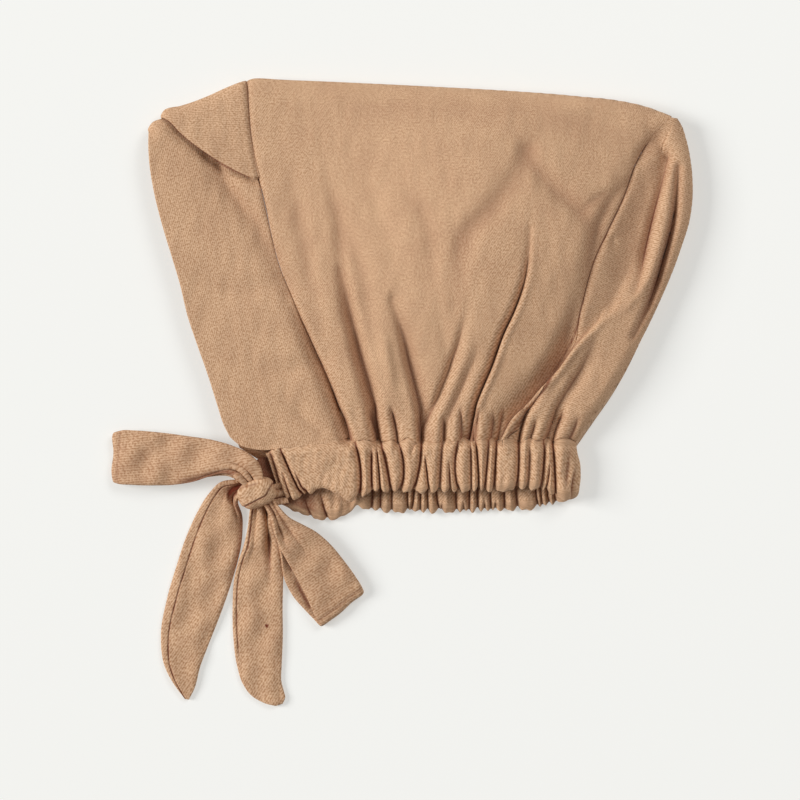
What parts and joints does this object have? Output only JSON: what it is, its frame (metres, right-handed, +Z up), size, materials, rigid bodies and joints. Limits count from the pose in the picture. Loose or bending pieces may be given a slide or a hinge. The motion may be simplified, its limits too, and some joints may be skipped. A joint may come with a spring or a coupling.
{
  "type": "underscarf cap",
  "caption": "Jersey underscarf cap lying flat on its side, with crossed front bands, a gathered nape casing and a tied bow.",
  "frame": {"origin": "middle of the cap's bounding box in plan, on the surface that it lies on", "axes": "+Z up from the surface, -X towards the face opening, -Y towards the nape and the ties, +Y towards the top fold of the crown"},
  "size_m": [0.3173, 0.3446, 0.0311],
  "materials": {
    "jersey": "matt, fine ribbed crepe jersey with a faint sheen"
  },
  "bodies": {
    "root": {"crown_panel": "jersey", "back_panel": "jersey", "front_band_near": "jersey", "front_band_far": "jersey", "nape_casing": "jersey", "tie_root_near": "jersey", "tie_root_far": "jersey", "tie_knot": "jersey", "bow_loop_left": "jersey", "bow_loop_right": "jersey", "tie_tail_left": "jersey", "tie_tail_right": "jersey"}
  },
  "joints": []
}
